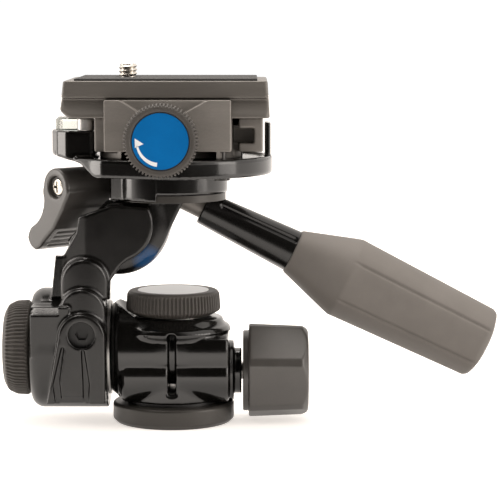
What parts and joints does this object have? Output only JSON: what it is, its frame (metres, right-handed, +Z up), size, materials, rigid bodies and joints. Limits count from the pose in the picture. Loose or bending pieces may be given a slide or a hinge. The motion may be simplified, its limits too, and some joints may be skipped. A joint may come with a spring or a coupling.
{
  "type": "three-way pan tilt head",
  "caption": "Three-way pan and tilt head with a ribbed side lock knob, a handle, a pan lever and a quick-release plate clamp on a round base.",
  "frame": {"origin": "centre of the tripod thread at the base's seating face", "axes": "+X towards the handle, +Y away from the front with the clamp knob, +Z up"},
  "size_m": [0.1692, 0.0785, 0.1224],
  "materials": {
    "black_casting": "gloss black paint on a die casting",
    "matte_casting": "satin black paint on a die casting",
    "anodised": "black anodised, fine turned",
    "steel": "turned steel",
    "dark_steel": "blackened steel screw",
    "brass": "plain brass",
    "nylon": "black nylon",
    "knob_plastic": "fine matte moulding",
    "grip_rubber": "soft matte rubber",
    "pad_rubber": "matte rubber",
    "inlay_grey": "pale smooth label disc",
    "disc_blue": "blue printed disc",
    "vial_glass": "clear acrylic",
    "level_green": "green liquid of the level",
    "lever_plastic": "satin glass-filled plastic",
    "plate_alu": "black anodised",
    "screw_steel": "bright stainless steel"
  },
  "bodies": {
    "base": {"pan_base": "anodised", "pan_spindle": "steel", "pan_washer": "nylon"},
    "housing": {"pan_housing": "black_casting", "spindle_set_screws": "dark_steel", "pan_brake_pad": "brass", "tilt_lock_washer": "steel", "tilt_brake_pad": "brass"},
    "pan_lock": {"pan_lock_knob": "knob_plastic", "pan_lock_stud": "steel"},
    "tilt_lock": {"tilt_lock_knob": "knob_plastic", "tilt_lock_stud": "steel", "tilt_lock_inlay": "inlay_grey"},
    "bracket": {"bracket_arm": "matte_casting", "side_tilt_washer": "steel", "side_tilt_shaft": "steel", "port_screw": "dark_steel", "front_tilt_shaft": "steel", "front_tilt_washer": "steel", "front_tilt_nut": "steel"},
    "drag": {"drag_knob": "knob_plastic", "drag_stud": "steel", "drag_knob_cap": "knob_plastic"},
    "tilt_block": {"tilt_body": "matte_casting", "scale_ring": "anodised", "pan_retaining_plate": "steel", "retaining_screws": "dark_steel"},
    "handle_core": {"handle_rod": "anodised", "rod_stop_ring": "nylon"},
    "handle_slider": {"handle_sleeve": "anodised", "handle_grip": "grip_rubber", "grip_plug": "nylon"},
    "top": {"platform": "black_casting", "level_vial": "vial_glass", "level_seat": "level_green", "plate_stop_pin": "steel", "clamp_base": "anodised", "clamp_base_screws": "dark_steel", "jaw_guide_pins": "steel"},
    "jaw": {"front_jaw": "anodised"},
    "clamp_handle": {"clamp_knob": "knob_plastic", "clamp_screw": "steel", "clamp_knob_disc": "disc_blue"},
    "lever": {"pan_lever": "lever_plastic", "lever_clamp_screw": "steel", "lever_cap_screw": "screw_steel"},
    "plate": {"quick_plate": "plate_alu", "rubber_pad": "pad_rubber"},
    "camera_fixing": {"camera_screw": "screw_steel", "screw_retainer": "steel"}
  },
  "joints": [
    {"name": "base_pan", "type": "hinge", "parent": "base", "child": "housing", "pos_m": [0, 0, 0], "axis": [0, 0, 1], "continuous": true},
    {"name": "pan_lock_turn", "type": "hinge", "parent": "housing", "child": "pan_lock", "pos_m": [0, 0, 0.0172], "axis": [1, 0, 0], "range_deg": [-60, 180]},
    {"name": "tilt_lock_turn", "type": "hinge", "parent": "housing", "child": "tilt_lock", "pos_m": [0, 0, 0], "axis": [0, 0, 1], "range_deg": [-60, 180]},
    {"name": "side_tilt", "type": "hinge", "parent": "housing", "child": "bracket", "pos_m": [0, 0, 0.0253], "axis": [1, 0, 0], "range_deg": [-30, 90]},
    {"name": "drag_turn", "type": "hinge", "parent": "bracket", "child": "drag", "pos_m": [0, 0, 0.0253], "axis": [1, 0, 0], "range_deg": [-180, 60]},
    {"name": "front_tilt", "type": "hinge", "parent": "bracket", "child": "tilt_block", "pos_m": [-0.0188, 0, 0.0689], "axis": [0, 1, 0], "range_deg": [-20, 4]},
    {"name": "handle_turn", "type": "hinge", "parent": "tilt_block", "child": "handle_core", "pos_m": [0.004, 0.006, 0.076], "axis": [0.8973, 0, -0.4415], "range_deg": [-180, 90]},
    {"name": "handle_draw", "type": "slide", "parent": "handle_core", "child": "handle_slider", "axis": [0.8973, 0, -0.4415], "range_m": [0, 0.03]},
    {"name": "top_pan", "type": "hinge", "parent": "tilt_block", "child": "top", "pos_m": [-0.0007, 0, 0.08], "axis": [0, 0, 1], "range_deg": [-110, 0]},
    {"name": "lever_turn", "type": "hinge", "parent": "top", "child": "lever", "pos_m": [-0.0394, -0.0084, 0.081], "axis": [0.7071, 0.7071, 0], "range_deg": [-4, 30]},
    {"name": "clamp_knob_turn", "type": "hinge", "parent": "jaw", "child": "clamp_handle", "pos_m": [-0.0024, -0.03, 0.0985], "axis": [0, -1, 0], "range_deg": [0, 900]},
    {"name": "jaw_slide", "type": "slide", "parent": "top", "child": "jaw", "axis": [0, -1, 0], "range_m": [0, 0.003]},
    {"name": "plate_slide", "type": "slide", "parent": "top", "child": "plate", "axis": [-1, 0, 0], "range_m": [0, 0.03]},
    {"name": "camera_screw_turn", "type": "hinge", "parent": "plate", "child": "camera_fixing", "pos_m": [-0.015, 0, 0.11], "axis": [0, 0, 1], "continuous": true}
  ],
  "couplings": [
    {"joint": "clamp_knob_turn", "follows": "jaw_slide", "rad_per_m": 5236}
  ]
}
